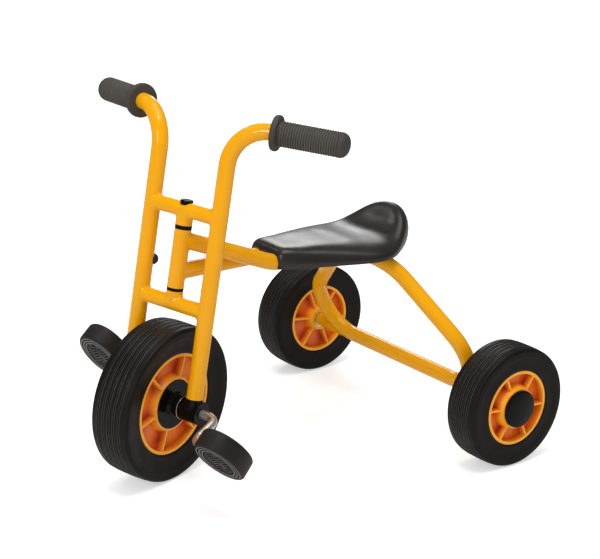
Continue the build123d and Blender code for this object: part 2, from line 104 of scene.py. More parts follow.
def lamp(name, place, width, height, power):
    """A soft lamp of this size that faces the middle of the tricycle."""
    light = bpy.data.objects.new(name, bpy.data.lights.new(name, "AREA"))
    light.data.shape = "RECTANGLE"
    light.data.size = width
    light.data.size_y = height
    light.data.energy = power
    light.location = place
    light.rotation_euler = (LAMP_AIM - Vector(place)).to_track_quat("-Z", "Y").to_euler()
    light.visible_camera = False
    bpy.context.scene.collection.objects.link(light)


bpy.context.scene.view_settings.view_transform = "Standard"
camera = bpy.data.objects.new("camera", bpy.data.cameras.new("camera"))
bpy.context.scene.collection.objects.link(camera)
bpy.context.scene.camera = camera
camera.data.sensor_width = SENSOR_W
camera.data.lens = LENS
camera.data.clip_end = CLIP_END
backward = Vector((
    math.sin(CAMERA_TURN) * math.cos(CAMERA_DROP),
    -math.cos(CAMERA_TURN) * math.cos(CAMERA_DROP),
    math.sin(CAMERA_DROP),
))
rightward = Vector((0, 0, 1)).cross(backward).normalized()
upward = backward.cross(rightward)
camera.matrix_world = on_axes(
    CAMERA_PLACE,
    rightward * math.cos(CAMERA_LEAN) + upward * math.sin(CAMERA_LEAN),
    upward * math.cos(CAMERA_LEAN) - rightward * math.sin(CAMERA_LEAN),
    backward,
)

paper = bpy.data.materials.new("white_paper")
paper.use_nodes = True
sheet = paper.node_tree.nodes["Principled BSDF"]
sheet.inputs["Base Color"].default_value = PAPER
sheet.inputs["Roughness"].default_value = PAPER_ROUGHNESS
rays = paper.node_tree.nodes.new("ShaderNodeLightPath").outputs
seen = arithmetic(paper, "MAXIMUM", rays["Is Camera Ray"], rays["Is Glossy Ray"])
seen = arithmetic(paper, "MAXIMUM", seen, rays["Is Transmission Ray"])
glow_share = arithmetic(paper, "MULTIPLY", seen, GLOW_SHARE)
dimming = arithmetic(paper, "MULTIPLY", rays["Is Glossy Ray"], FLOOR_DIMMING)
lit_sheet = mixed(paper, glow_share, sheet.outputs[0], glowing(paper, FLOOR_GLOW))
paper.node_tree.links.new(mixed(paper, dimming, lit_sheet, glowing(paper, 0)),
                          paper.node_tree.nodes["Material Output"].inputs["Surface"])

floor_mesh = bpy.data.meshes.new("floor")
floor_corners = [(x * FLOOR_HALF, y * FLOOR_HALF, 0)
                 for x, y in ((-1, -1), (1, -1), (1, 1), (-1, 1))]
floor_mesh.from_pydata(floor_corners, [], [(0, 1, 2, 3)])
floor_mesh.materials.append(paper)
floor = bpy.data.objects.new("floor", floor_mesh)
bpy.context.scene.collection.objects.link(floor)

room = bpy.data.worlds.new("white_room")
bpy.context.scene.world = room
room.use_nodes = True
background = room.node_tree.nodes["Background"]
background.inputs["Color"].default_value = WHITE
room_rays = room.node_tree.nodes.new("ShaderNodeLightPath").outputs
room_light = ranged(room, room_rays["Is Camera Ray"], ROOM_LIGHT, ROOM_SEEN, start=0, end=1)
room_light = arithmetic(room, "MULTIPLY_ADD", room_rays["Is Glossy Ray"], -ROOM_DIMMING,
                        room_light)
room.node_tree.links.new(room_light, background.inputs["Strength"])

lamp("overhead_lamp", place=(0.2, 0.1, 2.4), width=1.6, height=1.6, power=19)
lamp("upper_strip_lamp", place=(0.73, -0.59, 2.37), width=0.28, height=0.50, power=10)
lamp("front_strip_lamp", place=(0.84, -2.34, 1.30), width=0.34, height=0.90, power=15)
lamp("back_lamp", place=(-1.85, 1.45, 1.20), width=0.7, height=0.7, power=7.5)
lamp("side_lamp", place=(-1.47, -0.37, 1.84), width=0.12, height=0.25, power=1.5)


# ---- Painted frame tubes ----------------------------------------------------------------
# One loop of bent round steel tube, whose two ends are welded to the head tube, with an
# axle boss welded in each rear corner. All of it is powder-coated yellow over the welds.

COAT_ROUGHNESS = 0.06
CLOUD_SIZE, CLOUD_DETAIL = 0.06, 5
GLOSS_SIZE, GLOSS_SPREAD = 0.02, 0.15


def finish_base(name, roughness, metal=0.0, coat=0.0, specular=0.5):
    """A plain finish, and its shader with the fixed values set."""
    finish = bpy.data.materials.new(name)
    finish.use_nodes = True
    shader = finish.node_tree.nodes["Principled BSDF"]
    shader.inputs["Metallic"].default_value = metal
    shader.inputs["Roughness"].default_value = roughness
    shader.inputs["Coat Weight"].default_value = coat
    shader.inputs["Coat Roughness"].default_value = COAT_ROUGHNESS
    shader.inputs["Specular IOR Level"].default_value = specular
    return finish, shader


def noise(finish, size, detail=3):
    """A noise of this size in metres over the piece."""
    nodes = finish.node_tree.nodes
    place = nodes.new("ShaderNodeTexCoord")
    pattern = nodes.new("ShaderNodeTexNoise")
    pattern.inputs["Scale"].default_value = 1 / size
    pattern.inputs["Detail"].default_value = detail
    finish.node_tree.links.new(place.outputs["Object"], pattern.inputs["Vector"])
    return pattern.outputs["Fac"]


def tinted(finish, factor, first, second):
    """A colour that goes from the first to the second with the factor."""
    mix = finish.node_tree.nodes.new("ShaderNodeMix")
    mix.data_type = "RGBA"
    for socket, colour in (("A", first), ("B", second)):
        if isinstance(colour, tuple):
            mix.inputs[socket].default_value = (*colour, 1)
        else:
            finish.node_tree.links.new(colour, mix.inputs[socket])
    finish.node_tree.links.new(factor, mix.inputs["Factor"])
    return mix.outputs["Result"]


def roughened(finish, shader, height, depth):
    """Raises the surface by the height, up to this depth in metres."""
    bump = finish.node_tree.nodes.new("ShaderNodeBump")
    bump.inputs["Strength"].default_value = 1
    bump.inputs["Distance"].default_value = depth
    finish.node_tree.links.new(height, bump.inputs["Height"])
    finish.node_tree.links.new(bump.outputs[0], shader.inputs["Normal"])


def grained(name, light, dark, roughness, grain_size, grain_depth, metal=0.0, coat=0.0,
            specular=0.5):
    """A finish with a fine grain, slow changes of colour, and a gloss that varies a little."""
    finish, shader = finish_base(name, roughness, metal, coat, specular)
    links = finish.node_tree.links
    clouds = ranged(finish, noise(finish, CLOUD_SIZE, CLOUD_DETAIL), 0, 1)
    gloss = ranged(finish, noise(finish, GLOSS_SIZE), roughness * (1 - GLOSS_SPREAD),
                   roughness * (1 + GLOSS_SPREAD))
    links.new(tinted(finish, clouds, dark, light), shader.inputs["Base Color"])
    links.new(gloss, shader.inputs["Roughness"])
    roughened(finish, shader, noise(finish, grain_size), grain_depth)
    return finish


def finished(finish, *names):
    """Gives nodes of the model their finish."""
    for name in names:
        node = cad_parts[name]
        node.data.materials.clear()
        node.data.materials.append(finish)


yellow_paint = grained(
    "yellow_powder_coat", light=(0.80, 0.355, 0.001), dark=(0.76, 0.33, 0.001),
    roughness=0.2, grain_size=0.0025, grain_depth=0.00002, coat=0.5, specular=0.1)
finished(yellow_paint, "frame_loop", "head_tube", "axle_boss_left", "axle_boss_right")


# ---- Welds ------------------------------------------------------------------------------
# A smooth, hollow-faced bead of weld metal round each joint of two tubes, under the same
# yellow paint: on the frame round the loop's ends and the axle bosses, on the fork round
# the ends of the two crossbars and the collars on them.

TUBE_R, CROSSBAR_R, BOSS_R = 0.011, 0.010, 0.010
WELD_W, TIGHT_WELD_W = 0.0045, 0.0026
BEAD_STEPS, BEAD_SIDES, BEAD_SHARP = 160, 10, 80
BEAD_SINK, BEAD_ROOT_SINK = 0.00006, 0.0008
BEAD_SWELL, BEAD_RIPPLE, BEAD_RIPPLES = 0.0003, 0.00016, 16
PATH_HALVINGS, EVENING_PASSES = 20, 3
FORK_REACH = 0.4316  # from the rear axle forward to where the steering line meets the floor
FORK_TILT, FORK_TURN = math.radians(8.62), math.radians(17.55)
LEG_X = 0.055
CROSSBAR_LOW, CROSSBAR_HIGH = 0.240607, 0.364107
JOINT_REACH = 0.03  # how much of a main tube counts, each way from a joint
HEAD_LOW, HEAD_HIGH = 0.261807, 0.339107
LOOP_END_DROP, LOOP_END_RISE = 0.014, 0.0203  # from the two ends of the head tube
LOOP_FRONT_X, LOOP_FRONT_Y, LOOP_FRONT_Z = 0.0192, -0.250, 0.2726
CORNER_X, CORNER_R, CORNER_STEPS = 0.236, 0.053, 24
CROSS_TUBE_REACH = 0.05
BOSS_ROOT_X, BOSS_REACH = 0.16, 0.06
SEAT_REAR = Vector((0.031, -0.084, 0.2746))
HANDS = ("left", 1), ("right", -1)


def centre_of(node):
    """The middle of the box round a node of the model."""
    low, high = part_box(node)
    return (low + high) / 2


def mesh_piece(name, verts, faces, finish, body, sharp=35):
    """A smooth-shaded mesh piece that rides on a body, with a finish."""
    mesh = bpy.data.meshes.new(name)
    mesh.from_pydata([tuple(v) for v in verts], [], faces)
    shaped = bmesh.new()
    shaped.from_mesh(mesh)
    bmesh.ops.recalc_face_normals(shaped, faces=shaped.faces)
    shaped.to_mesh(mesh)
    shaped.free()
    mesh.polygons.foreach_set("use_smooth", [True] * len(mesh.polygons))
    mesh.set_sharp_from_angle(angle=math.radians(sharp))
    mesh.materials.append(finish)
    piece = bpy.data.objects.new(name, mesh)
    bpy.context.scene.collection.objects.link(piece)
    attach(piece, body)
    return piece


def ring_faces(rings, sides, closed):
    """Quads between rings of vertices, that also join the last ring to the first if closed."""
    pairs = [(i, (i + 1) % rings) for i in range(rings if closed else rings - 1)]
    return [
        (a * sides + j, a * sides + (j + 1) % sides, b * sides + (j + 1) % sides, b * sides + j)
        for a, b in pairs for j in range(sides)
    ]


def nearest_on(point, line):
    """The nearest point of a line through several points."""
    feet = []
    for start, end in zip(line, line[1:]):
        run = end - start
        share = (point - start).dot(run) / run.length_squared
        feet.append(start + run * max(0, min(1, share)))
    return min(feet, key=lambda foot: (point - foot).length)


def evened(loop):
    """A closed row of points with its kinks smoothed."""
    for smoothing in range(EVENING_PASSES):
        following = loop[1:] + loop[:1]
        loop = [(loop[i - 1] + 2 * loop[i] + following[i]) / 4 for i in range(len(loop))]
    return loop


def weld_path(root, direction, branch_r, main_line, main_r, reach):
    """The closed line where a branch tube comes out of a main tube."""
    side = direction.orthogonal().normalized()
    other = direction.cross(side)
    path = []
    for i in range(BEAD_STEPS):
        angle = 2 * math.pi * i / BEAD_STEPS
        rim = root + (side * math.cos(angle) + other * math.sin(angle)) * branch_r
        inside, outside = 0, reach
        for halving in range(PATH_HALVINGS):
            middle = (inside + outside) / 2
            spot = rim + direction * middle
            if (spot - nearest_on(spot, main_line)).length < main_r:
                inside = middle
            else:
                outside = middle
        path.append(rim + direction * outside)
    return evened(path)


def weld_bead(name, body, root, direction, branch_r, main_line, main_r, width, reach=0.05,
              place=Matrix()):
    """A hollow-faced bead where a branch tube that starts at root leaves a main tube."""
    direction = direction.normalized()
    path = weld_path(root, direction, branch_r, main_line, main_r, reach)
    on_branch, on_main, sunk = [], [], []
    for i, point in enumerate(path):
        along = (path[(i + 1) % BEAD_STEPS] - path[i - 1]).normalized()
        out = (point - root - direction * (point - root).dot(direction)).normalized()
        normal = (point - nearest_on(point, main_line)).normalized()
        away = normal.cross(along).normalized()
        if away.dot(out - direction) < 0:
            away = -away
        spread = point + away * width
        foot = nearest_on(spread, main_line)
        on_branch.append(point + direction * width - out * BEAD_SINK)
        on_main.append(foot + (spread - foot).normalized() * (main_r - BEAD_SINK))
        sunk.append(point - (out + normal) * BEAD_ROOT_SINK)
    on_branch, on_main, sunk = evened(on_branch), evened(on_main), evened(sunk)
    verts = []
    for i, (start, middle, end) in enumerate(zip(on_branch, path, on_main)):
        ripple = BEAD_RIPPLE * math.sin(2 * math.pi * BEAD_RIPPLES * i / BEAD_STEPS)
        lift = ((start + end) / 2 - middle).normalized() * (BEAD_SWELL + ripple)
        for j in range(BEAD_SIDES - 1):
            share = j / (BEAD_SIDES - 2)
            hollow = (start * (1 - share) ** 2 + middle * 2 * share * (1 - share)
                      + end * share ** 2)
            verts.append(place @ (hollow + lift * math.sin(math.pi * share)))
        verts.append(place @ sunk[i])
    mesh_piece(name, verts, ring_faces(BEAD_STEPS, BEAD_SIDES, True), yellow_paint,
               body, BEAD_SHARP)


rear_middle = centre_of("rear_tyre_left")
rear_axle = Vector((0, rear_middle.y, rear_middle.z))
fork_up = Vector((0, math.sin(FORK_TILT), math.cos(FORK_TILT)))
fork_across = Matrix.Rotation(FORK_TURN, 3, fork_up) @ Vector((1, 0, 0))
fork_back = fork_up.cross(fork_across)
fork_foot = Vector((0, rear_axle.y - FORK_REACH, 0))
fork_place = on_axes(fork_foot, fork_across, fork_back, fork_up)

for level, height, upright in (("lower", CROSSBAR_LOW, 1), ("upper", CROSSBAR_HIGH, -1)):
    for hand, sign in HANDS:
        leg_line = [Vector((sign * LEG_X, 0, height + rise))
                    for rise in (-JOINT_REACH, JOINT_REACH)]
        weld_bead("crossbar_weld_" + level + "_" + hand, "fork_assembly",
                  Vector((sign * LEG_X, 0, height)), Vector((-sign, 0, 0)), CROSSBAR_R,
                  leg_line, TUBE_R, WELD_W, place=fork_place)
    bar_line = [Vector((x, 0, height)) for x in (-JOINT_REACH, JOINT_REACH)]
    weld_bead("collar_weld_" + level, "fork_assembly", Vector((0, 0, height)),
              Vector((0, 0, upright)), TUBE_R, bar_line, CROSSBAR_R, WELD_W, place=fork_place)

head_line = [fork_foot + fork_up * HEAD_LOW, fork_foot + fork_up * HEAD_HIGH]
loop_ends = HEAD_HIGH - LOOP_END_DROP, HEAD_LOW + LOOP_END_RISE
for (hand, sign), height in zip(HANDS, loop_ends):
    root = fork_foot + fork_up * height
    front = Vector((sign * LOOP_FRONT_X, rear_axle.y + LOOP_FRONT_Y, LOOP_FRONT_Z))
    weld_bead("loop_end_weld_" + hand, "frame_assembly", root, front - root, TUBE_R,
              head_line, TUBE_R, TIGHT_WELD_W)

corner = Vector((CORNER_X, 0, rear_axle.z))
ahead = (SEAT_REAR - corner).normalized()
inward = Vector((-1, 0, 0))
half_corner = ahead.angle(inward) / 2
bend_middle = corner + (ahead + inward).normalized() * CORNER_R / math.sin(half_corner)
bend_start = corner + inward * CORNER_R / math.tan(half_corner)
spoke = bend_start - bend_middle
bend_axis = spoke.cross(corner - bend_middle).normalized()
swing = math.pi - 2 * half_corner
corner_line = [bend_start + inward * CROSS_TUBE_REACH]
for i in range(CORNER_STEPS + 1):
    turned = Matrix.Rotation(swing * i / CORNER_STEPS, 3, bend_axis) @ spoke
    corner_line.append(bend_middle + turned)
for hand, sign in HANDS:
    weld_bead("axle_boss_weld_" + hand, "frame_assembly",
              rear_axle + Vector((sign * BOSS_ROOT_X, 0, 0)), Vector((sign, 0, 0)), BOSS_R,
              [Vector((sign * p.x, rear_axle.y + p.y, p.z)) for p in corner_line], TUBE_R,
              TIGHT_WELD_W, reach=BOSS_REACH)


# ---- Head bushings and fork -------------------------------------------------------------
# The fork turns on a zinc-plated bolt through two flanged black nylon bushings in the head
# tube. Its legs and handlebar are one bent tube a side, in the same yellow paint.

finished(yellow_paint, "fork_tube_left", "fork_tube_right", "crossbar_upper", "crossbar_lower",
         "steering_collar_upper", "steering_collar_lower")
black_nylon = grained(
    "glossy_black_nylon", light=(0.005, 0.0045, 0.004), dark=(0.0035, 0.0033, 0.003),
    roughness=0.17, grain_size=0.0015, grain_depth=0.00001, specular=0.14)
finished(black_nylon, "head_bushing_upper", "head_bushing_lower", "steering_bolt_cap")
zinc = grained(
    "zinc_plate", light=(0.72, 0.72, 0.70), dark=(0.6, 0.6, 0.58), roughness=0.28,
    grain_size=0.001, grain_depth=0.00001, metal=1.0)
finished(zinc, "steering_bolt", "axle_pin_left", "axle_pin_right", "axle_washer_left",
         "axle_washer_right")


# ---- Stop buffers -----------------------------------------------------------------------
# A half-round black rubber button on each leg, where the leg would meet the frame at full
# lock.

satin_rubber = grained(
    "satin_black_rubber", light=(0.016, 0.0145, 0.013), dark=(0.011, 0.010, 0.0095),
    roughness=0.42, grain_size=0.001, grain_depth=0.00002)
finished(satin_rubber, "stop_buffer_left", "stop_buffer_right")


# ---- Wheels -----------------------------------------------------------------------------
# Orange moulded plastic: a rim, a web half way in, a flared hub and six ribs a side. Painted
# shade makes the orange deeper and redder down in the pockets. The front wheel is fast on the
# crank, and the rear ones turn on pins.

REAR_W, REAR_RIM_HALF, REAR_RIM_R, REAR_HUB_R = 0.053, 0.0242, 0.0523, 0.0282
FRONT_W, FRONT_RIM_HALF, FRONT_RIM_R, FRONT_HUB_R = 0.0625, 0.02165, 0.069, 0.0363
POCKET_DEPTH, RIM_T = 0.011, 0.004
RIB_COUNT = 6
REAR_RIB_ANGLES = {"left": math.radians(25.2), "right": math.radians(22.4)}
FRONT_RIB_ANGLE = math.radians(-9.5)
FACE_ORANGE, DEEP_SHADE_ORANGE = (0.90, 0.385, 0.018), (0.80, 0.17, 0.012)
POCKET_SHADE_RED = (0.48, 0.038, 0.016)
RED_BETWEEN, RED_GONE_BY_RIB = -0.9, 0.8
REDDEST, RED_CORE, RED_REACH, RED_LEFT = 0.38, 0.15, 0.6, 0.3
RED_CLOUD, RED_CLOUD_DETAIL, RED_CLOUD_RANGE = 0.012, 4, (0.75, 1.1)
WHEEL_ROUGHNESS, WHEEL_SPECULAR = 0.3, 0.35
WHEEL_GLOSS_SIZE, WHEEL_GLOSS_RANGE = 0.015, (0.26, 0.36)
WHEEL_GRAIN, WHEEL_GRAIN_DEPTH = 0.0018, 0.00003


def measured_along(finish, place, axis):
    """How far a place lies along an axis."""
    measure = finish.node_tree.nodes.new("ShaderNodeVectorMath")
    measure.operation = "DOT_PRODUCT"
    measure.inputs[1].default_value = axis
    finish.node_tree.links.new(place, measure.inputs[0])
    return measure.outputs["Value"]


def wheel_finish(name, tyre, axes, rim_half, hub_r, rim_r, rib_angle):
    """The wheel plastic, with painted shade that makes it redder down in the middle of each
    pocket.
    """
    finish, shader = finish_base(name, WHEEL_ROUGHNESS, specular=WHEEL_SPECULAR)
    nodes, links = finish.node_tree.nodes, finish.node_tree.links
    place = nodes.new("ShaderNodeTexCoord")
    from_centre = nodes.new("ShaderNodeVectorMath")
    from_centre.operation = "SUBTRACT"
    from_centre.inputs[1].default_value = centre_of(tyre)
    links.new(place.outputs["Object"], from_centre.inputs[0])
    along, back, up = (measured_along(finish, from_centre.outputs["Vector"], axis)
                       for axis in axes)

    # Painted shade: the orange gets deeper the further down into the pocket.
    inward = arithmetic(finish, "ABSOLUTE", along)
    depth = ranged(finish, inward, 1, 0, rim_half - POCKET_DEPTH, rim_half)
    angle = arithmetic(finish, "ARCTAN2", up, back)
    angle = arithmetic(finish, "SUBTRACT", angle, rib_angle)
    ribs = arithmetic(finish, "COSINE", arithmetic(finish, "MULTIPLY", angle, RIB_COUNT))
    between = ranged(finish, ribs, 1, 0, RED_BETWEEN, RED_GONE_BY_RIB)
    squared = arithmetic(finish, "ADD", arithmetic(finish, "MULTIPLY", up, up),
                         arithmetic(finish, "MULTIPLY", back, back))
    pocket_w = rim_r - hub_r
    off_middle = arithmetic(finish, "SUBTRACT", arithmetic(finish, "SQRT", squared),
                            hub_r + REDDEST * pocket_w)
    ring = ranged(finish, arithmetic(finish, "ABSOLUTE", off_middle), 1, RED_LEFT,
                  RED_CORE * pocket_w, RED_REACH * pocket_w)
    # Painted shade: red in the middle of each pocket, away from the ribs, rim and hub.
    red = arithmetic(finish, "MULTIPLY", arithmetic(finish, "MULTIPLY", depth, between), ring)
    clouds = ranged(finish, noise(finish, RED_CLOUD, RED_CLOUD_DETAIL), *RED_CLOUD_RANGE)
    red = arithmetic(finish, "MULTIPLY", red, clouds)

    orange = tinted(finish, depth, FACE_ORANGE, DEEP_SHADE_ORANGE)
    links.new(tinted(finish, red, orange, POCKET_SHADE_RED), shader.inputs["Base Color"])
    links.new(ranged(finish, noise(finish, WHEEL_GLOSS_SIZE), *WHEEL_GLOSS_RANGE),
              shader.inputs["Roughness"])
    roughened(finish, shader, noise(finish, WHEEL_GRAIN), WHEEL_GRAIN_DEPTH)
    return finish


square_axes = Vector((1, 0, 0)), Vector((0, 1, 0)), Vector((0, 0, 1))
fork_axes = fork_across, fork_back, fork_up
for hand, rib_angle in REAR_RIB_ANGLES.items():
    finished(wheel_finish("rear_wheel_plastic_" + hand, "rear_tyre_" + hand, square_axes,
                          REAR_RIM_HALF, REAR_HUB_R, REAR_RIM_R - RIM_T, rib_angle),
             "rear_wheel_" + hand)
finished(wheel_finish("front_wheel_plastic", "front_tyre", fork_axes, FRONT_RIM_HALF,
                      FRONT_HUB_R, FRONT_RIM_R - RIM_T, FRONT_RIB_ANGLE), "front_wheel")


# ---- Tyres ------------------------------------------------------------------------------
# Solid black rubber rings, pressed over the rims: flat across the tread with fine grooves
# round it, plain sloping sides with two faint raised lines, and a small lip over the rim.
# The low ridges beside the grooves get a paler rubber colour, a painted highlight.

REAR_TYRE_R, FRONT_TYRE_R = 0.0844, 0.1061
GROOVES, GROOVE_W, GROOVE_DEPTH = 5, 0.0014, 0.0014
GROOVE_FLANK_X, GROOVE_FLANK_DEPTH = 0.6, 0.7
BAND_SINK, RIDGE_W, RIDGE_SHAPE = 0.00035, 0.0011, ((1, 0), (0.7, 0.8), (0.4, 1), (0, 0.5))
CROWN_R, SHOULDER_R, SHOULDER_STEPS, SHOULDER_PASSES = 0.4, 0.005, 8, 5
LIP, TYRE_GAP = 0.0006, 0.00005
SIDE_LINES = ((0.16, 0), (0.18, 1), (0.205, 1), (0.225, 0), (0.5, 0),
              (0.86, 0), (0.875, 1), (0.9, 1), (0.915, 0), (1, 0))
LINE_LIFT = 0.00012
TYRE_STEPS, TYRE_SHARP = 192, 50
RIDGE_HIGHLIGHT_FROM = 0.75
tyre_rubber = grained(
    "tyre_rubber", light=(0.0095, 0.0078, 0.0064), dark=(0.006, 0.005, 0.0042),
    roughness=0.45, grain_size=0.0008, grain_depth=0.00004, specular=0.16)
# A paler rubber for the ridges' faces, a painted highlight.
tyre_ridge_highlight = grained(
    "tyre_ridge_highlight", light=(0.115, 0.103, 0.092), dark=(0.065, 0.058, 0.052),
    roughness=0.5, grain_size=0.0008, grain_depth=0.00004, specular=0.3)


def highlighted(piece, finish, chosen):
    """Gives the faces that chosen(index) picks a second, paler finish, a painted highlight."""
    piece.data.materials.append(finish)
    for face in piece.data.polygons:
        face.material_index = int(chosen(face.index))


def turned_piece(name, profile, steps, place, finish, body, closed=True, sharp=35):
    """A piece turned about X from points of (x, radius)."""
    spots = [(math.sin(2 * math.pi * j / steps), math.cos(2 * math.pi * j / steps))
             for j in range(steps)]
    verts = [place @ Vector((x, r * y, r * z)) for x, r in profile for y, z in spots]
    faces = ring_faces(len(profile), steps, closed)
    return mesh_piece(name, verts, faces, finish, body, sharp)


def crown(x, outer_r):
    """Radius of the tread's bare band at x from its middle."""
    return outer_r - BAND_SINK - CROWN_R + math.sqrt(CROWN_R**2 - x**2)


def half_tyre(outer_r, inner_r, width, rim_half):
    """Half of a tyre's section, from the middle of the tread round to the rim."""
    edge = GROOVE_W / 2
    relief = [(edge + RIDGE_W * share, BAND_SINK * lift) for share, lift in RIDGE_SHAPE]
    relief.append((edge * GROOVE_FLANK_X, -GROOVE_DEPTH * GROOVE_FLANK_DEPTH))
    relief = [(-x, lift) for x, lift in relief] + [(0, -GROOVE_DEPTH)] + relief[::-1]

    half_width = width / 2
    pitch = 2 * (half_width - SHOULDER_R) / (GROOVES + 1)
    points = [(0, crown(0, outer_r) - GROOVE_DEPTH)]
    for groove in range(GROOVES):
        for x, lift in relief:
            x += pitch * (groove - (GROOVES - 1) / 2)
            if x > 0:
                points.append((x, crown(x, outer_r) + lift))

    edge_r = crown(half_width, outer_r)
    side = Vector((rim_half + LIP - half_width, inner_r - edge_r)).normalized()
    outward = Vector((-side.y, side.x))
    centre_x = half_width
    for refining in range(SHOULDER_PASSES):
        over = crown(centre_x, outer_r) - SHOULDER_R - edge_r
        centre_x = half_width - (SHOULDER_R + over * outward.y) / outward.x
    centre_r = crown(centre_x, outer_r) - SHOULDER_R
    shoulder = math.atan2(outward.x, outward.y)
    for i in range(SHOULDER_STEPS + 1):
        angle = shoulder * i / SHOULDER_STEPS
        points.append((centre_x + SHOULDER_R * math.sin(angle),
                       centre_r + SHOULDER_R * math.cos(angle)))

    start, end = Vector(points[-1]), Vector((rim_half + LIP, inner_r + LIP))
    raised = Vector((-(end - start).y, (end - start).x)).normalized() * LINE_LIFT
    for share, lift in SIDE_LINES:
        points.append(tuple(start.lerp(end, share) + raised * lift))
    points.append((rim_half, inner_r + TYRE_GAP))
    return points


def tyre_piece(name, node, outer_r, rim_r, width, rim_half, place, body):
    """A grooved tyre in the place of its plain node."""
    half_section = half_tyre(outer_r, rim_r + TYRE_GAP, width, rim_half)
    profile = [(-x, r) for x, r in half_section[:0:-1]] + half_section
    piece = turned_piece(name, profile, TYRE_STEPS, place, tyre_rubber, body,
                         sharp=TYRE_SHARP)
    # Painted highlight: the faces along the ridges' tops get the paler rubber.
    lifts = [r - crown(x, outer_r) for x, r in profile]
    ridges = {i for i in range(len(profile) - 1)
              if min(lifts[i:i + 2]) > BAND_SINK * RIDGE_HIGHLIGHT_FROM}
    highlighted(piece, tyre_ridge_highlight, lambda face: face // TYRE_STEPS in ridges)
    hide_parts(node)


for hand in ("left", "right"):
    tyre_piece("grooved_rear_tyre_" + hand, "rear_tyre_" + hand, REAR_TYRE_R, REAR_RIM_R,
               REAR_W, REAR_RIM_HALF, Matrix.Translation(centre_of("rear_tyre_" + hand)),
               hand + "_rear_wheel")
front_axle_place = on_axes(centre_of("front_tyre"), *fork_axes)
tyre_piece("grooved_front_tyre", "front_tyre", FRONT_TYRE_R, FRONT_RIM_R, FRONT_W,
           FRONT_RIM_HALF, front_axle_place, "front_wheel_assembly")
finished(tyre_rubber, "rear_tyre_left", "rear_tyre_right", "front_tyre")


# ---- Hub caps, discs and axle bearings --------------------------------------------------
# Black mouldings: a domed cap pushed on the outside of each rear wheel, and on the front
# axle a glossier disc, sleeve and grooved bearing a side. A thin bright steel ring behind
# each bearing stands in for a highlight on the bearing's edge.

RING_R, RING_THICK, RING_X = 0.0154, 0.0004, 0.0375
RING_SIDES, RING_STEPS = 12, 96
cap_plastic = grained(
    "satin_black_cap", light=(0.0055, 0.005, 0.0045), dark=(0.004, 0.0036, 0.0033),
    roughness=0.3, grain_size=0.0014, grain_depth=0.00003, specular=0.14)
finished(cap_plastic, "hub_cap_left", "hub_cap_right")
finished(black_nylon, "hub_disc_left", "hub_disc_right", "spacer_left", "spacer_right",
         "fork_bearing_left", "fork_bearing_right")

bearing_highlight_steel = grained(
    "bright_ring_steel", light=(0.85, 0.85, 0.83), dark=(0.72, 0.72, 0.70), roughness=0.3,
    grain_size=0.001, grain_depth=0.00001, metal=1.0)
# Painted highlight: the bright ring stands in for the lit edge of the bearing's first ring.
for hand, sign in HANDS:
    angles = [2 * math.pi * i / RING_SIDES for i in range(RING_SIDES)]
    profile = [(sign * RING_X + RING_THICK * math.cos(angle),
                RING_R + RING_THICK * math.sin(angle)) for angle in angles]
    turned_piece("bearing_ring_" + hand, profile, RING_STEPS, front_axle_place, bearing_highlight_steel,
                 "fork_assembly")


# ---- Saddle -----------------------------------------------------------------------------
# A hard black shell moulded in one piece, flat in front and scooped up at the back, with a
# smooth gloss that varies a little.

SADDLE_DARK, SADDLE_LIGHT = (0.014, 0.0118, 0.0095), (0.020, 0.017, 0.0137)
SADDLE_ROUGHNESS, SADDLE_GLOSS_RANGE = 0.22, (0.27, 0.35)
SADDLE_GLOSS_SIZE, SADDLE_GLOSS_DETAIL = 0.03, 6
SADDLE_CLOUD, SADDLE_CLOUD_DETAIL = 0.05, 5
SADDLE_GRAIN, SADDLE_GRAIN_DEPTH = 0.0012, 0.00001
saddle_plastic, shader = finish_base("glossy_black_saddle", SADDLE_ROUGHNESS)
clouds = ranged(saddle_plastic, noise(saddle_plastic, SADDLE_CLOUD, SADDLE_CLOUD_DETAIL), 0, 1)
gloss = ranged(saddle_plastic, noise(saddle_plastic, SADDLE_GLOSS_SIZE, SADDLE_GLOSS_DETAIL),
               *SADDLE_GLOSS_RANGE)
saddle_plastic.node_tree.links.new(tinted(saddle_plastic, clouds, SADDLE_DARK, SADDLE_LIGHT),
                                   shader.inputs["Base Color"])
saddle_plastic.node_tree.links.new(gloss, shader.inputs["Roughness"])
roughened(saddle_plastic, shader, noise(saddle_plastic, SADDLE_GRAIN), SADDLE_GRAIN_DEPTH)
finished(saddle_plastic, "saddle")


# ---- Grips ------------------------------------------------------------------------------
# Soft black rubber sleeves pushed on the bar ends, with a round flange at the inner end,
# fine rings all the way along, whose crests get a painted highlight, and a rounded closed end.

BAR_HEIGHT, BAR_SWEEP = CROSSBAR_HIGH + 0.1205, math.radians(18.7)
GRIP_START, GRIP_END = 0.106, 0.199
GRIP_R, GRIP_END_R, GRIP_BORE_GAP = 0.01625, 0.0115, 0.0001
FLANGE_R, FLANGE_T, FLANGE_EDGE = 0.023, 0.008, 0.0022
FLANGE_GAP = 0.0002
FIRST_RING_GAP, LAST_RING_GAP = 0.003, 0.001
RING_COUNT, RING_DEPTH = 23, 0.0014
RING_SHAPE = (0, 1), (0.2, 0.9), (0.36, 0.15), (0.5, 0), (0.64, 0.15), (0.8, 0.9)
CREST_SHARE = 0.2
DIMPLE_R, DIMPLE_FLOOR_R, DIMPLE_CENTRE_R = 0.005, 0.0042, 0.0001
DIMPLE_LIP, DIMPLE_DEPTH = 0.0001, 0.0006
GRIP_STEPS, GRIP_ARC_STEPS, GRIP_SHARP = 96, 8, 45
grip_rubber = grained(
    "soft_grip_rubber", light=(0.056, 0.048, 0.041), dark=(0.042, 0.036, 0.031),
    roughness=0.62, grain_size=0.0007, grain_depth=0.00003, specular=0.3)
# Paler rubber for the rings' crests, a painted highlight.
grip_crest_highlight = grained(
    "grip_crest_highlight_rubber", light=(0.125, 0.110, 0.096), dark=(0.090, 0.079, 0.069),
    roughness=0.6, grain_size=0.0007, grain_depth=0.00003, specular=0.3)

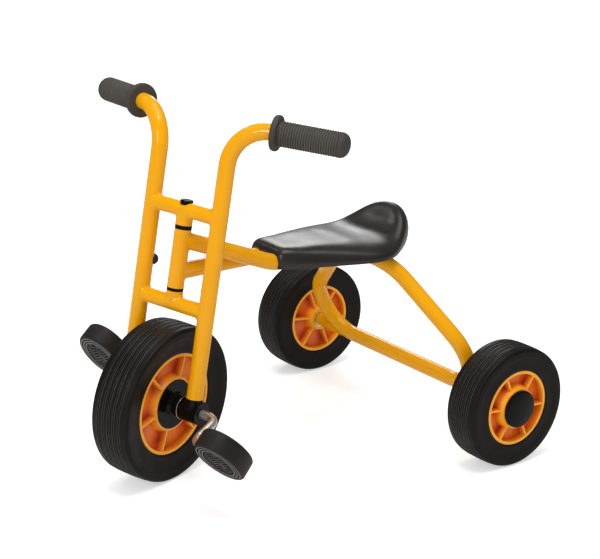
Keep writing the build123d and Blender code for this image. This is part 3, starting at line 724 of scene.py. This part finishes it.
grip_length = (GRIP_END - GRIP_START) / math.cos(BAR_SWEEP)
end_start = grip_length - GRIP_END_R
flange_flat_r = FLANGE_R - FLANGE_EDGE
grip_profile = [(0, TUBE_R + GRIP_BORE_GAP), (0, flange_flat_r)]
for i in range(GRIP_ARC_STEPS + 1):
    angle = math.pi * i / GRIP_ARC_STEPS
    grip_profile.append((FLANGE_T / 2 * (1 - math.cos(angle)),
                         flange_flat_r + FLANGE_EDGE * math.sin(angle)))
grip_profile.append((FLANGE_T + FLANGE_GAP, GRIP_R - FLANGE_GAP))
ring_start = FLANGE_T + FIRST_RING_GAP
ring_pitch = (end_start - LAST_RING_GAP - ring_start) / RING_COUNT
for i in range(RING_COUNT):
    for share, depth in RING_SHAPE:
        grip_profile.append((ring_start + ring_pitch * (i + share),
                             GRIP_R - RING_DEPTH * depth))
for i in range(GRIP_ARC_STEPS + 1):
    angle = math.pi / 2 * i / GRIP_ARC_STEPS
    grip_profile.append((end_start + GRIP_END_R * math.sin(angle),
                         GRIP_R - GRIP_END_R + GRIP_END_R * math.cos(angle)))
grip_profile += [(grip_length - DIMPLE_LIP, DIMPLE_R),
                 (grip_length - DIMPLE_DEPTH, DIMPLE_FLOOR_R),
                 (grip_length - DIMPLE_DEPTH, DIMPLE_CENTRE_R)]
crests = {i for i, (x, r) in enumerate(grip_profile[:-1])
          if FLANGE_T < x < end_start
          and min(r, grip_profile[i + 1][1]) > GRIP_R - RING_DEPTH * CREST_SHARE}
for hand, sign in HANDS:
    root = Vector((sign * GRIP_START, (GRIP_START - LEG_X) * math.tan(BAR_SWEEP), BAR_HEIGHT))
    along = Vector((sign * math.cos(BAR_SWEEP), math.sin(BAR_SWEEP), 0))
    turn = along.to_track_quat("X", "Z").to_matrix().to_4x4()
    piece = turned_piece("ribbed_grip_" + hand, grip_profile, GRIP_STEPS,
                         fork_place @ Matrix.Translation(root) @ turn, grip_rubber,
                         "fork_assembly", closed=False, sharp=GRIP_SHARP)
    highlighted(piece, grip_crest_highlight, lambda face: face // GRIP_STEPS in crests)
    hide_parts("grip_" + hand)
finished(grip_rubber, "grip_left", "grip_right")


# ---- Crank ------------------------------------------------------------------------------
# One bright steel rod, bent at both sides of the wheel, that is the front axle as well. It
# turns in the bearings in the fork's feet, and the pedals spin on its ends.

steel = grained(
    "polished_steel", light=(0.86, 0.85, 0.83), dark=(0.76, 0.75, 0.73), roughness=0.3,
    grain_size=0.002, grain_depth=0.000003, metal=0.92)
finished(steel, "crank")


# ---- Pedals -----------------------------------------------------------------------------
# Oval black rubber blocks with soft edges, each on its own end of the crank. Each face has
# three oval rings moulded round a field of zigzag tread, whose tops get a painted highlight.

PEDAL_X, CRANK_RADIUS, CRANK_ANGLE = 0.1447, 0.0537, math.radians(23.3)
PEDAL_TURNS = {"left": math.radians(40.7), "right": math.radians(47.6)}
PEDAL_A, PEDAL_B, PEDAL_HALF_T = 0.0346, 0.0423, 0.0135
PEDAL_EDGE_R, PEDAL_EDGE_STEPS = 0.004, 6
OVAL_GROOVES = (0.0058, 0.0020), (0.0100, 0.0018), (0.0140, 0.0018)
OVAL_GROOVE_SHAPE = (0, 0), (0.15, 1), (0.85, 1), (1, 0)
OVAL_GROOVE_DEPTH, OVAL_TOP_INSET = 0.0022, 0.005
FIELD_INSET, FIELD_RINGS, TREAD_DEPTH = 0.0172, 26, 0.0026
ZIGZAG_RUN, ZIGZAG_PITCH, ZIGZAG_SWAY = 0.0085, 0.0056, 0.9
ZIGZAG_STEEPNESS, ZIGZAG_RAISED, TREAD_HIGHLIGHT_FROM = 1.5, 0.2, 0.25
PEDAL_STEPS, PEDAL_SHARP = 160, 50
pedal_rubber = grained(
    "pedal_rubber", light=(0.021, 0.018, 0.0155), dark=(0.014, 0.0122, 0.0105),
    roughness=0.5, grain_size=0.0008, grain_depth=0.00004, specular=0.22)
# Paler rubber for the tops of the rings and tread, a painted highlight.
pedal_top_highlight = grained(
    "pedal_top_highlight_rubber", light=(0.17, 0.153, 0.136), dark=(0.10, 0.088, 0.078),
    roughness=0.5, grain_size=0.0008, grain_depth=0.00004, specular=0.3)


def zigzag(x, y):
    """Height of the zigzag tread, from 0 to 1, at a place in the field."""
    bend = abs((x / ZIGZAG_RUN) % 2 - 1)
    wave = math.cos(2 * math.pi * (y / ZIGZAG_PITCH + bend * ZIGZAG_SWAY))
    return min(1, max(0, wave * ZIGZAG_STEEPNESS + ZIGZAG_RAISED))


def pedal_oval(inset, shrink=1.0):
    """The pedal's outline, moved in by the inset and then shrunk."""
    a, b = (PEDAL_A - inset) * shrink, (PEDAL_B - inset) * shrink
    angles = [2 * math.pi * j / PEDAL_STEPS for j in range(PEDAL_STEPS)]
    return [(a * math.cos(angle), b * math.sin(angle)) for angle in angles]


def tread_field(shares, face):
    """The treaded field of the upper (1) or lower (-1) face, in ovals that shrink."""
    return [(x, y, face * (PEDAL_HALF_T + TREAD_DEPTH * (zigzag(x, y) - 1)))
            for share in shares for x, y in pedal_oval(FIELD_INSET, share)]


half_edge = []
for i in range(PEDAL_EDGE_STEPS + 1):
    angle = math.pi / 2 * i / PEDAL_EDGE_STEPS
    half_edge.append((PEDAL_EDGE_R * (1 - math.cos(angle)),
                      PEDAL_HALF_T - PEDAL_EDGE_R * (1 - math.sin(angle))))
for start, width in OVAL_GROOVES:
    for share, depth in OVAL_GROOVE_SHAPE:
        half_edge.append((start + width * share, PEDAL_HALF_T - OVAL_GROOVE_DEPTH * depth))
edge_rings = [(inset, -height) for inset, height in reversed(half_edge)] + half_edge
oval_tops = {i for i, (ring, following) in enumerate(zip(edge_rings, edge_rings[1:]))
             if abs(ring[1]) == abs(following[1]) == PEDAL_HALF_T and ring[0] > OVAL_TOP_INSET}
field_shares = [1 - i / FIELD_RINGS for i in range(FIELD_RINGS)]
pedal_verts = tread_field(reversed(field_shares), -1)
for inset, height in edge_rings:
    pedal_verts += [(x, y, height) for x, y in pedal_oval(inset)]
pedal_verts += tread_field(field_shares, 1)
ring_total = 2 * FIELD_RINGS + len(edge_rings)
pedal_faces = ring_faces(ring_total, PEDAL_STEPS, False)
pedal_faces.append(tuple(range(PEDAL_STEPS)))
pedal_faces.append(tuple(range((ring_total - 1) * PEDAL_STEPS, ring_total * PEDAL_STEPS)))


def on_top(face):
    """Whether a face is on the crest of an oval ring or of the tread."""
    ring = min(pedal_faces[face]) // PEDAL_STEPS - FIELD_RINGS
    if 0 <= ring < len(edge_rings) - 1:
        return ring in oval_tops
    crest = PEDAL_HALF_T - TREAD_DEPTH * TREAD_HIGHLIGHT_FROM
    return all(abs(pedal_verts[v][2]) > crest for v in pedal_faces[face])


arm = Vector((0, -math.cos(CRANK_ANGLE), -math.sin(CRANK_ANGLE))) * CRANK_RADIUS
for hand, sign in HANDS:
    place = (front_axle_place @ Matrix.Translation(Vector((sign * PEDAL_X, 0, 0)) + arm * sign)
             @ Matrix.Rotation(-PEDAL_TURNS[hand], 4, "X"))
    piece = mesh_piece("treaded_pedal_" + hand, [place @ Vector(v) for v in pedal_verts],
                       pedal_faces, pedal_rubber, hand + "_pedal", PEDAL_SHARP)
    highlighted(piece, pedal_top_highlight, on_top)
    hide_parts("pedal_" + hand)
finished(pedal_rubber, "pedal_left", "pedal_right")
